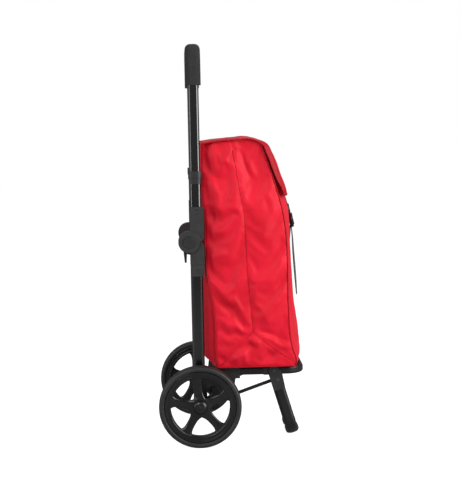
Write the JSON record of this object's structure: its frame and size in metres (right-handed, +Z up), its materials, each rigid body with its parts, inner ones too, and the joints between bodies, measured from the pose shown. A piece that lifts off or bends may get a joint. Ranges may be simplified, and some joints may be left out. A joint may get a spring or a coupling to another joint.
{
  "type": "shopping trolley on wheels",
  "caption": "Folding shopping trolley: tube frame on spoked wheels, foam-gripped sliding handle, fold-up platform with stand, and a tall red flap-top fabric bag.",
  "frame": {"origin": "on the floor, midway along the overall length and width", "axes": "+X forward from the uprights to the bag, +Y to the left, +Z up"},
  "size_m": [0.377, 0.453, 1.023],
  "materials": {
    "steel": "bright rod and pins",
    "lower_metal": "satin black coat",
    "upper_metal": "gloss black coat",
    "stand_metal": "fine textured black coat",
    "joint_plastic": "dark grey moulded",
    "black_plastic": "black moulded",
    "screw": "dull zinc",
    "foam": "fine pored foam",
    "tyre": "solid rubber",
    "rubber": "soft pad",
    "wheel_plastic": "dark moulded",
    "red_fabric": "coated nylon weave",
    "dark_red_fabric": "coated nylon weave",
    "webbing": "woven strap",
    "board": "stiffening sheet",
    "buckle_plastic": "moulded"
  },
  "bodies": {
    "frame": {"axle": "steel", "axle_washers": "black_plastic", "lower_tubes": "lower_metal", "axle_brackets": "black_plastic", "hinge_bases": "joint_plastic", "base_screws": "screw", "hinge_pins": "steel", "cross_tube": "lower_metal", "cart_hooks": "black_plastic", "hang_loops": "webbing", "bag_body": "red_fabric", "base_board": "board", "rear_panel": "dark_red_fabric", "buckle_socket": "buckle_plastic", "lower_strap": "webbing", "strap_tail": "webbing"},
    "middle": {"hinge_tops": "joint_plastic", "top_screws": "screw", "middle_tubes": "upper_metal", "collars": "black_plastic"},
    "handle": {"handle_tube": "upper_metal", "foam_grip": "foam"},
    "left_button": {"button_left": "black_plastic"},
    "right_button": {"button_right": "black_plastic"},
    "platform": {"platform_loop": "stand_metal", "platform_bars": "stand_metal", "platform_arms": "black_plastic", "platform_collars": "black_plastic"},
    "stand": {"stand_tube": "stand_metal", "stand_housings": "black_plastic", "stand_pins": "screw", "stand_pads": "rubber"},
    "braces": {"brace_rods": "stand_metal"},
    "left_wheel": {"tyre_left": "tyre", "rim_left": "wheel_plastic", "hub_cap_left": "wheel_plastic"},
    "right_wheel": {"tyre_right": "tyre", "rim_right": "wheel_plastic", "hub_cap_right": "wheel_plastic"},
    "flap": {"flap": "red_fabric", "flap_strap": "webbing", "buckle_clip": "buckle_plastic"}
  },
  "joints": [
    {"name": "handle_fold", "type": "hinge", "parent": "frame", "child": "middle", "pos_m": [-0.102, 0, 0.521], "axis": [0, -1, 0], "range_deg": [0, 180]},
    {"name": "handle_slide", "type": "slide", "parent": "middle", "child": "handle", "axis": [0, 0, 1], "range_m": [-0.08, 0]},
    {"name": "left_release", "type": "slide", "parent": "middle", "child": "left_button", "axis": [0, -1, 0], "range_m": [0, 0.004], "stiffness_N_per_m": 800},
    {"name": "right_release", "type": "slide", "parent": "middle", "child": "right_button", "axis": [0, 1, 0], "range_m": [0, 0.004], "stiffness_N_per_m": 800},
    {"name": "platform_fold", "type": "hinge", "parent": "frame", "child": "platform", "pos_m": [-0.0435, 0, 0.136], "axis": [0, -1, 0], "range_deg": [0, 90], "deforming": ["bag_body", "base_board", "rear_panel"]},
    {"name": "stand_fold", "type": "hinge", "parent": "platform", "child": "stand", "pos_m": [0.1095, 0, 0.181], "axis": [0, -1, 0], "range_deg": [-77.8, 0]},
    {"name": "brace_swing", "type": "hinge", "parent": "frame", "child": "braces", "pos_m": [-0.0415, 0, 0.102], "axis": [0, -1, 0], "range_deg": [0, 82.5]},
    {"name": "left_wheel_spin", "type": "hinge", "parent": "frame", "child": "left_wheel", "pos_m": [-0.0835, 0.2075, 0.105], "axis": [0, 1, 0], "continuous": true},
    {"name": "right_wheel_spin", "type": "hinge", "parent": "frame", "child": "right_wheel", "pos_m": [-0.0835, -0.2075, 0.105], "axis": [0, 1, 0], "continuous": true},
    {"name": "flap_lift", "type": "hinge", "parent": "frame", "child": "flap", "pos_m": [-0.0635, 0, 0.774], "axis": [0, -1, 0], "range_deg": [0, 80]}
  ],
  "couplings": [
    {"joint": "stand_fold", "follows": "platform_fold", "ratio": -0.86444},
    {"joint": "brace_swing", "follows": "platform_fold", "ratio": 0.91667}
  ]
}
